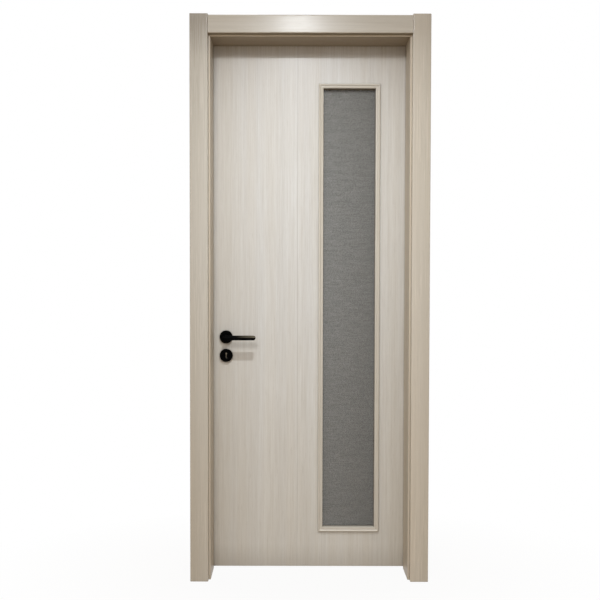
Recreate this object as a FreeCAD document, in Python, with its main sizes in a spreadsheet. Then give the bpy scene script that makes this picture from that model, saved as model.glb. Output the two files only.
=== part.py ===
import FreeCAD, Part
import math
import os
import re
import Sketcher

# Interior door set of wood-plastic composite, seen from its stop side.
# Frame: X runs across the doorway, Y through the wall, Z up.
# The origin lies on the wall-side face of the hinge jamb, at floor level, at half the jamb's depth.

# Driving sizes in millimetres
SIZES = [
    ("clear_width", 752),
    ("clear_height", 2060),
    ("jamb_depth", 150),
    ("jamb_thickness", 40),
    ("rebate_depth", 45),
    ("rebate_step", 15),
    ("jamb_arris", 3),
    ("fit_gap", 0.3),
    ("moving_gap", 5),
    ("casing_width", 68.5),
    ("casing_plate", 12),
    ("casing_leg", 6),
    ("casing_leg_length", 46),
    ("front_margin", 7.5),
    ("back_margin", 13),
    ("front_standoff", 6),
    ("side_casing_rise", 4),
    ("casing_round", 4),
    ("seal_width", 8),
    ("seal_setback", 3.5),
    ("seal_kerf_width", 3),
    ("seal_kerf_depth", 7),
    ("seal_round", 2.2),
    ("leaf_thickness", 40),
    ("leaf_arris", 1.2),
    ("floor_gap", 6),
    ("bead_frame_width", 241),
    ("hinge_stile_width", 107.5),
    ("top_rail_height", 156),
    ("bottom_rail_height", 139),
    ("bead_width", 17.5),
    ("bead_lap", 9),
    ("bead_rise", 7),
    ("bead_nose", 4),
    ("bead_crown", 5),
    ("bead_crown_round", 2),
    ("bead_groove", 9.5),
    ("bead_groove_rise", 3),
    ("bead_groove_round", 3),
    ("bead_lip", 12.5),
    ("bead_lip_rise", 4.6),
    ("bead_inner_rise", 3),
    ("bead_lip_round", 1.2),
    ("glass_sheet", 5),
    ("mesh_sheet", 1),
    ("glass_edge_gap", 3),
    ("lock_backset", 58),
    ("spindle_height", 920),
    ("lock_centres", 73),
    ("lock_case_height", 160),
    ("lock_case_depth", 87),
    ("lock_case_thickness", 15),
    ("lock_case_above", 55),
    ("faceplate_height", 200),
    ("faceplate_width", 22),
    ("faceplate_thickness", 3),
    ("latch_height", 22),
    ("latch_width", 11),
    ("latch_length", 40),
    ("bolt_height", 34),
    ("strike_height", 160),
    ("strike_thickness", 2),
    ("strike_box_depth", 11),
    ("spindle_size", 8),
    ("follower_diameter", 20),
    ("hub_bore", 22),
    ("rose_diameter", 51),
    ("rose_thickness", 9),
    ("rose_bevel", 1.5),
    ("keyhole_circle", 8),
    ("keyhole_rise", 8),
    ("keyhole_slot", 4.6),
    ("keyhole_drop", 12),
    ("key_bore", 20),
    ("neck_diameter", 18),
    ("lever_height", 18),
    ("lever_length", 118),
    ("lever_thickness", 11),
    ("lever_reach", 56),
    ("lever_shoulder", 5),
    ("lever_chin", 6),
    ("lever_crease_drop", 2.5),
    ("hinge_height", 100),
    ("hinge_plate", 2.3),
    ("hinge_plate_width", 32),
    ("hinge_axis_back", 8.5),
    ("knuckle_radius", 6.5),
    ("pin_radius", 4),
    ("pin_play", 0.05),
    ("knuckle_gap", 0.4),
    ("pin_head_radius", 5.5),
    ("pin_head_height", 3),
    ("upper_hinge_drop", 230),
    ("lower_hinge_rise", 244),
]
KNUCKLES = 3

# Sizes that follow from the driving ones
FOLLOWING = [
    ("front_edge", "-jamb_depth / 2"),
    ("back_edge", "jamb_depth / 2"),
    ("stop_face", "back_edge - rebate_depth"),
    ("frame_width", "clear_width + 2 * jamb_thickness"),
    ("frame_height", "clear_height + jamb_thickness"),
    ("rebate_face", "jamb_thickness - rebate_step"),
    ("front_inner", "jamb_thickness - front_margin"),
    ("front_outer", "front_inner - casing_width"),
    ("back_inner", "rebate_face - back_margin"),
    ("back_outer", "back_inner - casing_width"),
    ("front_groove_end", "front_edge - front_standoff + casing_leg_length + fit_gap"),
    ("back_groove_end", "back_edge - casing_leg_length - fit_gap"),
    ("seal_inner", "jamb_thickness - seal_setback"),
    ("seal_outer", "seal_inner - seal_width"),
    ("kerf_inner", "seal_inner - (seal_width - seal_kerf_width) / 2"),
    ("kerf_outer", "kerf_inner - seal_kerf_width"),
    ("kerf_end", "stop_face - seal_kerf_depth"),
    ("leaf_front", "stop_face + moving_gap"),
    ("leaf_back", "leaf_front + leaf_thickness"),
    ("hinge_edge", "-rebate_face - moving_gap"),
    ("corner_reach", "leaf_thickness + hinge_axis_back"),
    ("swing_out", "corner_reach * corner_reach / (2 * clear_width)"),
    ("leaf_width", "clear_width + 2 * rebate_step - 2 * moving_gap - swing_out"),
    ("leaf_height", "clear_height + rebate_step - moving_gap - floor_gap"),
    ("leaf_top", "leaf_height + floor_gap"),
    ("bead_frame_bottom", "floor_gap + bottom_rail_height"),
    ("bead_frame_top", "leaf_top - top_rail_height"),
    ("bead_frame_height", "bead_frame_top - bead_frame_bottom"),
    ("bead_lock_side", "hinge_stile_width + bead_frame_width"),
    ("glass_width", "bead_frame_width - 2 * bead_lap - 2 * glass_edge_gap"),
    ("glass_height", "bead_frame_height - 2 * bead_lap - 2 * glass_edge_gap"),
    ("glass_total", "2 * glass_sheet + mesh_sheet"),
    ("bead_leg_depth", "(leaf_thickness - glass_total) / 2 - fit_gap"),
    ("leaf_middle", "leaf_thickness / 2"),
    ("spindle_place", "hinge_edge - leaf_width + lock_backset"),
    ("key_height", "spindle_height - lock_centres"),
    ("lock_case_top", "spindle_height + lock_case_above"),
    ("faceplate_middle", "lock_case_top - lock_case_height / 2"),
    ("latch_middle", "spindle_height"),
    ("bolt_middle", "key_height"),
    ("case_back", "faceplate_thickness + lock_case_depth"),
    ("case_backset", "lock_backset - faceplate_thickness"),
    ("axis_across", "-rebate_face - moving_gap / 2"),
    ("axis_through", "leaf_back + hinge_axis_back"),
    ("plate_gap", "moving_gap / 2 - hinge_plate"),
    ("knuckle_bore", "pin_radius + pin_play"),
    ("knuckle_pitch", "hinge_height / %d" % KNUCKLES),
    ("upper_hinge_height", "leaf_top - upper_hinge_drop"),
    ("lower_hinge_height", "floor_gap + lower_hinge_rise"),
    ("middle_hinge_height", "(upper_hinge_height + lower_hinge_height) / 2"),
    ("casing_half_width", "casing_width / 2"),
    ("lock_edge", "hinge_edge - leaf_width"),
    ("lock_plane", "leaf_front + leaf_middle"),
    ("case_half_width", "lock_case_thickness / 2"),
    ("lock_case_bottom", "lock_case_top - lock_case_height"),
    ("faceplate_half_width", "faceplate_width / 2"),
    ("faceplate_bottom", "faceplate_middle - faceplate_height / 2"),
    ("faceplate_top", "faceplate_middle + faceplate_height / 2"),
    ("latch_half_height", "latch_height / 2"),
    ("latch_half_width", "latch_width / 2"),
    ("bolt_half_height", "bolt_height / 2"),
    ("strike_half_width", "faceplate_width / 2"),
    ("strike_bottom", "faceplate_middle - strike_height / 2"),
    ("strike_top", "faceplate_middle + strike_height / 2"),
    ("strike_window_bottom", "bolt_middle - bolt_half_height - fit_gap"),
    ("strike_window_top", "latch_middle + latch_half_height + fit_gap"),
    ("strike_seat", "-frame_width + rebate_face - strike_thickness"),
    ("keyhole_half_slot", "keyhole_slot / 2"),
    ("lever_half_height", "lever_height / 2"),
    ("lever_back", "lever_reach - lever_thickness"),
    ("spindle_half", "spindle_size / 2"),
    ("knuckle_diameter", "2 * knuckle_radius"),
    ("hinge_half_height", "hinge_height / 2"),
    ("front_plate_near", "front_edge - front_standoff"),
    ("front_plate_far", "front_plate_near - casing_plate"),
    ("front_leg_end", "front_plate_near + casing_leg_length"),
    ("back_plate_far", "back_edge + casing_plate"),
    ("back_leg_end", "back_edge - casing_leg_length"),
    ("front_head_low", "clear_height + front_margin"),
    ("front_casing_top", "front_head_low + casing_width + side_casing_rise"),
    ("front_head_length", "clear_width + 2 * front_margin"),
    ("front_head_start", "-frame_width + front_inner"),
    ("back_head_low", "clear_height + rebate_step + back_margin"),
    ("back_casing_top", "back_head_low + casing_width + side_casing_rise"),
    ("back_head_length", "clear_width + 2 * rebate_step + 2 * back_margin"),
    ("back_head_start", "-frame_width + back_inner"),
]

doc = FreeCAD.newDocument("DoorSet")
sheet = doc.addObject("Spreadsheet::Sheet", "Sizes")
row = 0
for name, size in SIZES:
    row += 1
    sheet.set("A%d" % row, str(size))
    sheet.setAlias("A%d" % row, name)
for name, formula in FOLLOWING:
    row += 1
    sheet.set("A%d" % row, "=" + formula)
    sheet.setAlias("A%d" % row, name)
doc.recompute()

TERM = re.compile(r"([+-]?)\s*([a-z_]+)")
LABELS = []


def size_of(text):
    """Value of a sum of named sizes, such as 'clear_width - rebate_step'."""
    total = 0.0
    for sign, name in TERM.findall(text):
        total += -sheet.get(name) if sign == "-" else sheet.get(name)
    return total


def bound(text):
    """The same sum as an expression on the sheet."""
    return re.sub(r"([a-z_]+)", r"Sizes.\1", text)


def bind(thing, prop, text):
    thing.setExpression(prop, bound(text))


def new_body(label):
    body = doc.addObject("PartDesign::Body", label)
    body.Label = label
    LABELS.append(label)
    doc.recompute()
    return body


def place(body, across="", through="", up="", turn=0):
    """Put a piece at its seat; turn is the angle about the Y axis."""
    body.Placement.Rotation = FreeCAD.Rotation(FreeCAD.Vector(0, 1, 0), turn)
    for axis, text in (("x", across), ("y", through), ("z", up)):
        if text:
            bind(body, "Placement.Base." + axis, text)


def new_sketch(body, role, offset=""):
    """Empty sketch on one of the body's own origin planes, moved along its normal."""
    sketch = body.newObject("Sketcher::SketchObject", "Sketch")
    plane = [item for item in body.Origin.OriginFeatures if item.Role == role][0]
    sketch.AttachmentSupport = [(plane, "")]
    sketch.MapMode = "FlatFace"
    if offset:
        bind(sketch, "AttachmentOffset.Base.z", offset)
    return sketch


def hold(sketch, kind, *args):
    """Add a distance whose last argument is a sum of named sizes."""
    text = args[-1]
    index = sketch.addConstraint(Sketcher.Constraint(kind, *args[:-1], size_of(text)))
    if TERM.search(text):
        bind(sketch, "Constraints[%d]" % index, text)


def draw_polygon(sketch, corners):
    """Closed outline through corners, each held from the origin by two named distances."""
    first = sketch.GeometryCount
    points = [FreeCAD.Vector(size_of(u), size_of(v), 0) for u, v in corners]
    count = len(points)
    for index in range(count):
        sketch.addGeometry(Part.LineSegment(points[index], points[(index + 1) % count]), False)
    for index in range(count):
        after = first + (index + 1) % count
        sketch.addConstraint(Sketcher.Constraint("Coincident", first + index, 2, after, 1))
    for index, (u, v) in enumerate(corners):
        hold(sketch, "DistanceX", -1, 1, first + index, 1, u)
        hold(sketch, "DistanceY", -1, 1, first + index, 1, v)


def draw_box(sketch, left, low, right, high):
    draw_polygon(sketch, [(left, low), (right, low), (right, high), (left, high)])


def draw_circle(sketch, u, v, diameter):
    centre = FreeCAD.Vector(size_of(u), size_of(v), 0)
    circle = sketch.addGeometry(Part.Circle(centre, FreeCAD.Vector(0, 0, 1), size_of(diameter) / 2), False)
    hold(sketch, "Diameter", circle, diameter)
    hold(sketch, "DistanceX", -1, 1, circle, 3, u)
    hold(sketch, "DistanceY", -1, 1, circle, 3, v)


def draw_slot(sketch, length, radius):
    """Long outline with two round ends; the first end's centre is the origin."""
    r = size_of(radius)
    far = size_of(length)
    ends = [(0, math.pi / 2, 3 * math.pi / 2), (far, -math.pi / 2, math.pi / 2)]
    arcs = []
    for u, start, end in ends:
        circle = Part.Circle(FreeCAD.Vector(u, 0, 0), FreeCAD.Vector(0, 0, 1), r)
        arcs.append(sketch.addGeometry(Part.ArcOfCircle(circle, start, end), False))
    top = sketch.addGeometry(Part.LineSegment(FreeCAD.Vector(0, r, 0), FreeCAD.Vector(far, r, 0)), False)
    low = sketch.addGeometry(Part.LineSegment(FreeCAD.Vector(far, -r, 0), FreeCAD.Vector(0, -r, 0)), False)
    for first, first_end, second, second_end in ((arcs[0], 1, top, 1), (top, 2, arcs[1], 2),
                                                 (arcs[1], 1, low, 1), (low, 2, arcs[0], 2)):
        sketch.addConstraint(Sketcher.Constraint("Tangent", first, first_end, second, second_end))
    sketch.addConstraint(Sketcher.Constraint("Coincident", arcs[0], 3, -1, 1))
    sketch.addConstraint(Sketcher.Constraint("Horizontal", top))
    sketch.addConstraint(Sketcher.Constraint("Horizontal", low))
    hold(sketch, "Radius", arcs[0], radius)
    hold(sketch, "DistanceX", -1, 1, arcs[1], 3, length)


def pad(body, sketch, length, reverse=False):
    feature = body.newObject("PartDesign::Pad", "Pad")
    feature.Profile = sketch
    bind(feature, "Length", length)
    feature.Reversed = reverse
    doc.recompute()
    return feature


def pocket(body, sketch, length, reverse=False):
    """Cut along the sketch's normal; an empty length cuts through everything, both ways."""
    before = body.Shape.Volume
    feature = body.newObject("PartDesign::Pocket", "Pocket")
    feature.Profile = sketch
    if length:
        bind(feature, "Length", length)
        feature.Reversed = reverse
    else:
        feature.Type = "ThroughAll"
        feature.Midplane = True
    doc.recompute()
    if not body.Shape.Volume < before - 0.01:
        raise RuntimeError("a cut in %s removes nothing" % body.Label)
    return feature


def round_edges(body, radius, chosen):
    """Round the edges whose middle point passes the test."""
    base = body.Tip
    names = []
    for index, edge in enumerate(base.Shape.Edges):
        middle = edge.valueAt((edge.FirstParameter + edge.LastParameter) / 2)
        if chosen(edge, middle):
            names.append("Edge%d" % (index + 1))
    if not names:
        raise RuntimeError("no edge to round in " + body.Label)
    feature = body.newObject("PartDesign::Fillet", "Fillet")
    feature.Base = (base, names)
    bind(feature, "Radius", radius)
    doc.recompute()
    return feature


def bevel_rim(body, size, through):
    """Chamfer the round rim that lies furthest out in the plane at this depth."""
    base = body.Tip
    rims = [(edge.BoundBox.XLength, "Edge%d" % (index + 1)) for index, edge in enumerate(base.Shape.Edges)
            if near(edge.BoundBox.YMin, through) and near(edge.BoundBox.YMax, through)]
    feature = body.newObject("PartDesign::Chamfer", "Chamfer")
    feature.Base = (base, [max(rims)[1]])
    bind(feature, "Size", size)
    doc.recompute()
    return feature


def near(value, text):
    return abs(value - size_of(text)) < 0.01


# Profiles, as width from the outer edge inwards and depth through the wall
JAMB_ROUNDS = [("jamb_arris", "jamb_thickness", "front_edge")]
JAMB_PROFILE = [
    ("0", "front_edge"),
    ("front_inner - casing_leg - fit_gap", "front_edge"),
    ("front_inner - casing_leg - fit_gap", "front_groove_end"),
    ("front_inner + fit_gap", "front_groove_end"),
    ("front_inner + fit_gap", "front_edge"),
    ("jamb_thickness", "front_edge"),
    ("jamb_thickness", "stop_face"),
    ("kerf_inner", "stop_face"),
    ("kerf_inner", "kerf_end"),
    ("kerf_outer", "kerf_end"),
    ("kerf_outer", "stop_face"),
    ("rebate_face", "stop_face"),
    ("rebate_face", "back_edge"),
    ("back_inner + fit_gap", "back_edge"),
    ("back_inner + fit_gap", "back_groove_end"),
    ("back_inner - casing_leg - fit_gap", "back_groove_end"),
    ("back_inner - casing_leg - fit_gap", "back_edge"),
    ("0", "back_edge"),
]
SEAL_ROUNDS = [
    ("seal_round", "seal_inner", "leaf_front - fit_gap"),
    ("seal_round", "seal_outer", "leaf_front - fit_gap"),
]
SEAL_PROFILE = [
    ("seal_inner", "stop_face"),
    ("seal_inner", "leaf_front - fit_gap"),
    ("seal_outer", "leaf_front - fit_gap"),
    ("seal_outer", "stop_face"),
    ("kerf_outer + fit_gap", "stop_face"),
    ("kerf_outer + fit_gap", "kerf_end + fit_gap"),
    ("kerf_inner - fit_gap", "kerf_end + fit_gap"),
    ("kerf_inner - fit_gap", "stop_face"),
]
BEAD_ROUNDS = [
    ("bead_nose", "0", "-bead_rise"),
    ("bead_crown_round", "bead_crown", "-bead_rise"),
    ("bead_groove_round", "bead_groove", "-bead_groove_rise"),
    ("bead_lip_round", "bead_lip", "-bead_lip_rise"),
]
BEAD_PROFILE = [
    ("0", "0"),
    ("0", "-bead_rise"),
    ("bead_crown", "-bead_rise"),
    ("bead_groove", "-bead_groove_rise"),
    ("bead_lip", "-bead_lip_rise"),
    ("bead_width", "-bead_inner_rise"),
    ("bead_width", "bead_leg_depth"),
    ("bead_lap + fit_gap", "bead_leg_depth"),
    ("bead_lap + fit_gap", "0"),
]


def mitred_bar(label, profile, rounds, length, width, at_start, at_end):
    """Bar of one profile, rounded along some arrises, then cut at 45 degrees, longest at its outer edge."""
    body = new_body(label)
    outline = new_sketch(body, "XY_Plane")
    draw_polygon(outline, profile)
    pad(body, outline, length)
    for radius, u, v in rounds:
        round_edges(body, radius, lambda edge, middle: near(middle.x, u) and near(middle.y, v))
    if at_start:
        cut = new_sketch(body, "XZ_Plane")
        draw_polygon(cut, [("0", "0"), (width, width), (width, "0")])
        pocket(body, cut, "")
    if at_end:
        cut = new_sketch(body, "XZ_Plane")
        draw_polygon(cut, [("0", length), (width, length), (width, length + " - " + width)])
        pocket(body, cut, "")
    return body


def frame_set(hinge_label, lock_label, head_label, profile, rounds):
    """The same profile along the hinge jamb, the lock jamb and the head."""
    hinge_side = mitred_bar(hinge_label, profile, rounds, "frame_height", "jamb_thickness", True, False)
    place(hinge_side, up="frame_height", turn=180)
    lock_side = mitred_bar(lock_label, profile, rounds, "frame_height", "jamb_thickness", False, True)
    place(lock_side, across="-frame_width")
    head = mitred_bar(head_label, profile, rounds, "frame_width", "jamb_thickness", True, True)
    place(head, across="-frame_width", up="frame_height", turn=90)
    return lock_side


def jambs():
    lock_side = frame_set("jamb_hinge_side", "jamb_lock_side", "head_jamb", JAMB_PROFILE, JAMB_ROUNDS)
    recess = new_sketch(lock_side, "YZ_Plane", "rebate_face")
    draw_box(recess, "lock_plane - strike_half_width - fit_gap", "strike_bottom - fit_gap",
             "lock_plane + strike_half_width + fit_gap", "strike_top + fit_gap")
    pocket(lock_side, recess, "strike_thickness")
    box = new_sketch(lock_side, "YZ_Plane", "rebate_face")
    draw_box(box, "lock_plane - case_half_width", "strike_window_bottom",
             "lock_plane + case_half_width", "strike_window_top")
    pocket(lock_side, box, "strike_box_depth")


def casing(label, inner, plate_near, plate_far, leg_end, length, leg_length, leg_start):
    """Cover plate with the leg that slides into the jamb's groove."""
    body = new_body(label)
    plate = new_sketch(body, "XY_Plane")
    draw_box(plate, inner + " - casing_width", plate_far, inner, plate_near)
    pad(body, plate, length)
    round_edges(body, "casing_round", lambda edge, middle: near(middle.y, plate_far)
                and not near(middle.x, inner + " - casing_half_width"))
    leg = new_sketch(body, "XY_Plane", leg_start)
    draw_box(leg, inner + " - casing_leg", plate_near, inner, leg_end)
    pad(body, leg, leg_length)
    return body


def casings(side, inner, plate_near, plate_far, leg_end, top, leg_top, head_length, head_start):
    hinge_side = casing(side + "_casing_hinge_side", inner, plate_near, plate_far, leg_end,
                        top, leg_top, top + " - " + leg_top)
    place(hinge_side, up=top, turn=180)
    lock_side = casing(side + "_casing_lock_side", inner, plate_near, plate_far, leg_end, top, leg_top, "")
    place(lock_side, across="-frame_width")
    head = casing(side + "_casing_head", inner, plate_near, plate_far, leg_end,
                  head_length, head_length, "")
    place(head, across=head_start, up="frame_height", turn=90)


def strike_plate():
    body = new_body("strike_plate")
    outline = new_sketch(body, "YZ_Plane")
    draw_box(outline, "-strike_half_width", "strike_bottom", "strike_half_width", "strike_top")
    pad(body, outline, "strike_thickness")
    window = new_sketch(body, "YZ_Plane")
    draw_box(window, "-latch_half_width - fit_gap", "strike_window_bottom",
             "latch_half_width + fit_gap", "strike_window_top")
    pocket(body, window, "")
    place(body, across="strike_seat", through="lock_plane")


def hinge_half(label, side, own_knuckles, height):
    """One plate of a butt hinge with its knuckles; side is - for the leaf and empty for the frame."""
    body = new_body(label)
    barrel = new_sketch(body, "XY_Plane")
    draw_circle(barrel, "0", "0", "knuckle_diameter")
    pad(body, barrel, "hinge_height")
    plate = new_sketch(body, "XY_Plane")
    near_face = "plate_gap" if not side else "-plate_gap"
    far_face = "plate_gap + hinge_plate" if not side else "-plate_gap - hinge_plate"
    draw_box(plate, near_face, "-pin_radius - hinge_plate_width", far_face, "-pin_radius")
    pad(body, plate, "hinge_height")
    for index in range(KNUCKLES):
        if index in own_knuckles:
            continue
        notch = new_sketch(body, "XY_Plane", "-knuckle_gap" + " + knuckle_pitch" * index)
        draw_circle(notch, "0", "0", "knuckle_diameter + knuckle_gap + knuckle_gap")
        pocket(body, notch, "knuckle_pitch + knuckle_gap", True)
    bore = new_sketch(body, "XY_Plane")
    draw_circle(bore, "0", "0", "knuckle_bore + knuckle_bore")
    pocket(body, bore, "")
    place(body, "axis_across", "axis_through", height + " - hinge_half_height")


def hinge_pin(label, height):
    body = new_body(label)
    shank = new_sketch(body, "XY_Plane")
    draw_circle(shank, "0", "0", "pin_radius + pin_radius")
    pad(body, shank, "hinge_height")
    head = new_sketch(body, "XY_Plane", "hinge_height")
    draw_circle(head, "0", "0", "pin_head_radius + pin_head_radius")
    pad(body, head, "pin_head_height")
    place(body, "axis_across", "axis_through", height + " - hinge_half_height")


def hinges():
    for level in ("upper", "middle", "lower"):
        height = level + "_hinge_height"
        hinge_half("hinge_%s_frame_plate" % level, "", range(0, KNUCKLES, 2), height)
        hinge_half("hinge_%s_leaf_plate" % level, "-", range(1, KNUCKLES, 2), height)
        hinge_pin("hinge_%s_pin" % level, height)


def door_leaf():
    """Flush leaf with the tall glazing cut-out, the lock mortise and its bores."""
    body = new_body("door_leaf")
    outline = new_sketch(body, "XZ_Plane")
    draw_box(outline, "-leaf_width", "0", "0", "leaf_height")
    draw_box(outline, "-bead_lock_side + bead_lap", "bottom_rail_height + bead_lap",
             "-hinge_stile_width - bead_lap", "leaf_height - top_rail_height - bead_lap")
    pad(body, outline, "leaf_thickness")
    round_edges(body, "leaf_arris", lambda edge, middle:
                (near(middle.y, "0") or near(middle.y, "-leaf_thickness"))
                and (near(middle.x, "0") or near(middle.x, "-leaf_width")))
    recess = new_sketch(body, "YZ_Plane", "-leaf_width")
    draw_box(recess, "-leaf_middle - faceplate_half_width", "faceplate_bottom - floor_gap",
             "-leaf_middle + faceplate_half_width", "faceplate_top - floor_gap")
    pocket(body, recess, "faceplate_thickness", True)
    mortise = new_sketch(body, "YZ_Plane", "-leaf_width")
    draw_box(mortise, "-leaf_middle - case_half_width - fit_gap", "lock_case_bottom - floor_gap - fit_gap",
             "-leaf_middle + case_half_width + fit_gap", "lock_case_top - floor_gap + fit_gap")
    pocket(body, mortise, "case_back + fit_gap", True)
    bores = new_sketch(body, "XZ_Plane")
    draw_circle(bores, "-leaf_width + lock_backset", "spindle_height - floor_gap", "hub_bore")
    draw_circle(bores, "-leaf_width + lock_backset", "key_height - floor_gap", "key_bore")
    pocket(body, bores, "")
    place(body, "hinge_edge", "leaf_back", "floor_gap")


def bead(label, length, across, through, up, face_turn, turn):
    """Mitred glazing bead; face_turn swings it to the back, turn lays it along its side."""
    body = mitred_bar(label, BEAD_PROFILE, BEAD_ROUNDS, length, "bead_width", True, True)
    place(body, across, through, up)
    about_y = FreeCAD.Rotation(FreeCAD.Vector(0, 1, 0), turn)
    about_z = FreeCAD.Rotation(FreeCAD.Vector(0, 0, 1), face_turn)
    body.Placement.Rotation = about_y * about_z


def beads():
    hinge_side = "hinge_edge - hinge_stile_width"
    lock_side = "hinge_edge - bead_lock_side"
    bottom = "bead_frame_bottom"
    top = "bead_frame_top"
    height = "bead_frame_height"
    width = "bead_frame_width"
    bead("front_bead_lock_side", height, lock_side, "leaf_front", bottom, 0, 0)
    bead("front_bead_hinge_side", height, hinge_side, "leaf_front", top, 0, 180)
    bead("front_bead_top", width, lock_side, "leaf_front", top, 0, 90)
    bead("front_bead_bottom", width, hinge_side, "leaf_front", bottom, 0, 270)
    bead("back_bead_hinge_side", height, hinge_side, "leaf_back", bottom, 180, 0)
    bead("back_bead_lock_side", height, lock_side, "leaf_back", top, 180, 180)
    bead("back_bead_top", width, hinge_side, "leaf_back", top, 180, 270)
    bead("back_bead_bottom", width, lock_side, "leaf_back", bottom, 180, 90)


def pane(label, thickness, front):
    body = new_body(label)
    outline = new_sketch(body, "XZ_Plane")
    draw_box(outline, "-glass_width", "0", "0", "glass_height")
    pad(body, outline, thickness, True)
    place(body, "hinge_edge - hinge_stile_width - bead_lap - glass_edge_gap", front,
          "bead_frame_bottom + bead_lap + glass_edge_gap")


def laminated_glass():
    front = "leaf_front + bead_leg_depth + fit_gap"
    pane("glass_front_sheet", "glass_sheet", front)
    pane("glass_mesh_interlayer", "mesh_sheet", front + " + glass_sheet")
    pane("glass_back_sheet", "glass_sheet", front + " + glass_sheet + mesh_sheet")


def lock():
    """Mortise lock: case, faceplate, and the bolts that lie flush while the door stands shut."""
    case = new_body("lock_case")
    outline = new_sketch(case, "XZ_Plane")
    draw_box(outline, "0", "lock_case_bottom", "lock_case_depth", "lock_case_top")
    draw_circle(outline, "case_backset", "spindle_height", "hub_bore")
    draw_circle(outline, "case_backset", "key_height", "keyhole_circle")
    pad(case, outline, "lock_case_thickness")
    bolts = (("latch_bolt", "latch_middle", "latch_half_height"),
             ("dead_bolt", "bolt_middle", "bolt_half_height"))
    for _, middle, half in bolts:
        channel = new_sketch(case, "YZ_Plane")
        draw_box(channel, "-case_half_width - latch_half_width - fit_gap", middle + " - fit_gap - " + half,
                 "-case_half_width + latch_half_width + fit_gap", middle + " + fit_gap + " + half)
        pocket(case, channel, "latch_length", True)
    place(case, "lock_edge + faceplate_thickness", "leaf_front + leaf_middle + case_half_width")

    faceplate = new_body("lock_faceplate")
    outline = new_sketch(faceplate, "YZ_Plane")
    draw_box(outline, "-faceplate_half_width", "faceplate_bottom", "faceplate_half_width", "faceplate_top")
    for _, middle, half in bolts:
        draw_box(outline, "-latch_half_width - fit_gap", middle + " - fit_gap - " + half,
                 "latch_half_width + fit_gap", middle + " + fit_gap + " + half)
    pad(faceplate, outline, "faceplate_thickness")
    place(faceplate, "lock_edge", "leaf_front + leaf_middle")

    for label, middle, half in bolts:
        bolt = new_body(label)
        outline = new_sketch(bolt, "YZ_Plane")
        draw_box(outline, "-latch_half_width", middle + " - " + half,
                 "latch_half_width", middle + " + " + half)
        pad(bolt, outline, "latch_length")
        place(bolt, "lock_edge", "leaf_front + leaf_middle")


def rose(label, through, reverse):
    """Round plate on the leaf that the lever's neck passes through."""
    body = new_body(label)
    outline = new_sketch(body, "XZ_Plane")
    draw_circle(outline, "0", "0", "rose_diameter")
    draw_circle(outline, "0", "0", "neck_diameter + fit_gap + fit_gap")
    pad(body, outline, "rose_thickness", reverse)
    bevel_rim(body, "rose_bevel", "rose_thickness" if reverse else "-rose_thickness")
    place(body, "spindle_place", through, "spindle_height")


def key_escutcheon(label, through, reverse):
    """Round plate with the keyhole cut through it."""
    body = new_body(label)
    outline = new_sketch(body, "XZ_Plane")
    draw_circle(outline, "0", "0", "rose_diameter")
    pad(body, outline, "rose_thickness", reverse)
    bevel_rim(body, "rose_bevel", "rose_thickness" if reverse else "-rose_thickness")
    circle = new_sketch(body, "XZ_Plane")
    draw_circle(circle, "0", "keyhole_rise", "keyhole_circle")
    pocket(body, circle, "")
    slot = new_sketch(body, "XZ_Plane")
    draw_box(slot, "-keyhole_half_slot", "-keyhole_drop", "keyhole_half_slot", "keyhole_rise")
    pocket(body, slot, "")
    place(body, "spindle_place", through, "key_height")


def lever(label, through, reverse):
    """Straight grip with round ends on a round neck; its front is creased below the middle."""
    body = new_body(label)
    neck = new_sketch(body, "XZ_Plane")
    draw_circle(neck, "0", "0", "neck_diameter")
    pad(body, neck, "lever_reach", reverse)
    grip = new_sketch(body, "XZ_Plane", "-lever_back" if reverse else "lever_back")
    draw_slot(grip, "lever_length - lever_half_height", "lever_half_height")
    pad(body, grip, "lever_thickness", reverse)
    front, behind = ("lever_reach", "lever_reach - ") if reverse else ("-lever_reach", "-lever_reach + ")
    for edge, bevel in (("lever_half_height", "lever_shoulder"), ("-lever_half_height", "lever_chin")):
        slope = new_sketch(body, "YZ_Plane")
        draw_polygon(slope, [(front, edge), (front, "-lever_crease_drop"), (behind + bevel, edge)])
        pocket(body, slope, "")
    place(body, "spindle_place", through, "spindle_height")


def spindle():
    """Square bar through the lock with the follower hub that it turns."""
    body = new_body("spindle")
    bar = new_sketch(body, "XZ_Plane")
    draw_box(bar, "-spindle_half", "-spindle_half", "spindle_half", "spindle_half")
    pad(body, bar, "leaf_thickness")
    hub = new_sketch(body, "XZ_Plane", "leaf_middle - case_half_width")
    draw_circle(hub, "0", "0", "follower_diameter")
    pad(body, hub, "lock_case_thickness")
    place(body, "spindle_place", "leaf_back", "spindle_height")


jambs()
frame_set("seal_hinge_side", "seal_lock_side", "seal_head", SEAL_PROFILE, SEAL_ROUNDS)
casings("front", "front_inner", "front_plate_near", "front_plate_far", "front_leg_end",
        "front_casing_top", "front_head_low", "front_head_length", "front_head_start")
casings("back", "back_inner", "back_edge", "back_plate_far", "back_leg_end",
        "back_casing_top", "back_head_low", "back_head_length", "back_head_start")
strike_plate()
hinges()
door_leaf()
beads()
laminated_glass()
lock()
rose("front_rose", "leaf_front", False)
rose("back_rose", "leaf_back", True)
key_escutcheon("front_key_escutcheon", "leaf_front", False)
key_escutcheon("back_key_escutcheon", "leaf_back", True)
lever("front_lever", "leaf_front", False)
lever("back_lever", "leaf_back", True)
spindle()
doc.recompute()

for item in doc.Objects:
    if "Invalid" in item.State or "Error" in item.State:
        raise RuntimeError("%s failed" % item.Label)
os.makedirs("parts", exist_ok=True)
for label in LABELS:
    piece = doc.getObjectsByLabel(label)[0]
    if piece.Shape.isNull() or not piece.Shape.isValid():
        raise RuntimeError("%s has no valid shape" % label)
    piece.Shape.exportStep("parts/%s.step" % label)
print("%d pieces written" % len(LABELS))
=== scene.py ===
import math

import bmesh
import bpy
from mathutils import Matrix, Vector

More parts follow.
